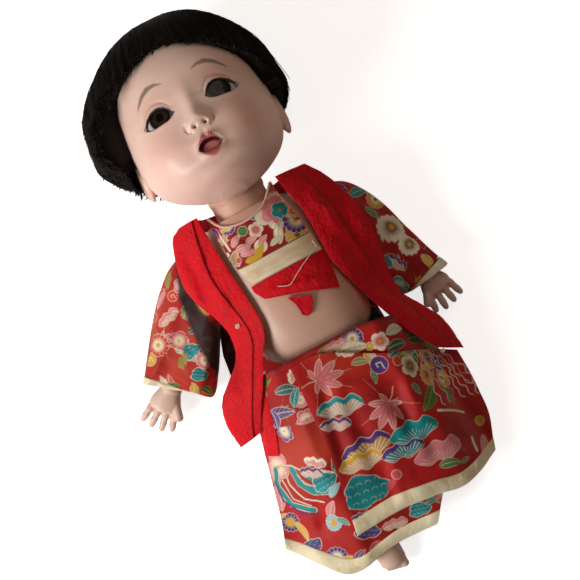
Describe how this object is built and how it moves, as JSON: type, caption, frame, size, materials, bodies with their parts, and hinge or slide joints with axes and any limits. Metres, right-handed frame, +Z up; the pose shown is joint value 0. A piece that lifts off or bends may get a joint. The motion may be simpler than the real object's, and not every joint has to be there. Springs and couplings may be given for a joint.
{
  "type": "ichimatsu doll",
  "caption": "Baby-type ichimatsu doll lying on its back, with composition head and limbs on cloth joints, in an opened printed silk kimono with a red crepe collar and a bib.",
  "frame": {"origin": "on the flat underside of the kimono back, under the doll's chest on its centreline", "axes": "+Z up out of the chest, +Y towards the crown of the head, +X towards the doll's left hand"},
  "size_m": [0.243, 0.401, 0.1084],
  "materials": {
    "gofun": "satin shell-white lacquer over moulded wood-paste composition",
    "eye_glass": "clear polished glass over a dark brown iris",
    "hair": "straight black hair, cut in a bob",
    "cotton": "plain cotton stuffed with wadding",
    "peg_wood": "plain turned wood",
    "thread": "waxed cotton thread",
    "printed_silk": "silk printed with coloured motifs on red",
    "cream_silk": "plain satin silk",
    "red_crepe": "coarse-grained silk crepe"
  },
  "bodies": {
    "trunk": {"torso": "gofun", "kimono_back": "printed_silk", "bib": "printed_silk", "bib_band": "cream_silk", "waist_strap": "red_crepe", "strap_end": "red_crepe", "collar_right": "red_crepe", "collar_left": "red_crepe", "collar_nape": "red_crepe", "skirt_back": "printed_silk", "hem_back": "cream_silk"},
    "head_group": {"head": "gofun", "eye_right": "eye_glass", "eye_left": "eye_glass", "hair": "hair", "neck_peg": "peg_wood"},
    "arm_right": {"upper_arm_right": "cotton", "sleeve_right": "printed_silk"},
    "hand_right": {"forearm_right": "gofun", "arm_binding_right": "thread", "cuff_right": "cream_silk"},
    "arm_left": {"upper_arm_left": "cotton", "sleeve_left": "printed_silk"},
    "hand_left": {"forearm_left": "gofun", "arm_binding_left": "thread", "cuff_left": "cream_silk"},
    "leg_right": {"thigh_right": "cotton", "lower_leg_right": "gofun", "leg_binding_right": "thread"},
    "leg_left": {"thigh_left": "cotton", "lower_leg_left": "gofun", "leg_binding_left": "thread", "skirt_under": "printed_silk", "skirt_over": "printed_silk", "hem_under": "cream_silk", "hem_over": "cream_silk"}
  },
  "joints": [
    {"name": "neck_turn", "type": "hinge", "parent": "trunk", "child": "head_group", "pos_m": [0, 0.05, 0.044], "axis": [0, 1, 0], "range_deg": [-60, 60]},
    {"name": "shoulder_right", "type": "hinge", "parent": "trunk", "child": "arm_right", "pos_m": [-0.04615, 0.04, 0.029], "axis": [0, 0, -1], "range_deg": [0, 50]},
    {"name": "shoulder_left", "type": "hinge", "parent": "trunk", "child": "arm_left", "pos_m": [0.04858, 0.04, 0.029], "axis": [0, 0, 1], "range_deg": [0, 50]},
    {"name": "elbow_right", "type": "hinge", "parent": "arm_right", "child": "hand_right", "pos_m": [-0.0735, 0.0065, 0.0158], "axis": [-0.7299, 0.6836, 0], "range_deg": [0, 50], "deforming": ["sleeve_right"]},
    {"name": "elbow_left", "type": "hinge", "parent": "arm_left", "child": "hand_left", "pos_m": [0.0735, 0.0025, 0.0158], "axis": [-0.7915, -0.4166, 0.4472], "range_deg": [0, 50], "deforming": ["sleeve_left"]},
    {"name": "hip_left", "type": "hinge", "parent": "trunk", "child": "leg_left", "pos_m": [0.028, -0.06, 0.0235], "axis": [-1, 0, 0], "range_deg": [0, 60], "deforming": ["skirt_under", "skirt_over"]},
    {"name": "hip_right", "type": "hinge", "parent": "trunk", "child": "leg_right", "pos_m": [-0.01, -0.06, 0.0235], "axis": [-1, 0, 0], "range_deg": [0, 60]}
  ],
  "couplings": [
    {"joint": "hip_right", "follows": "hip_left", "ratio": 1}
  ]
}
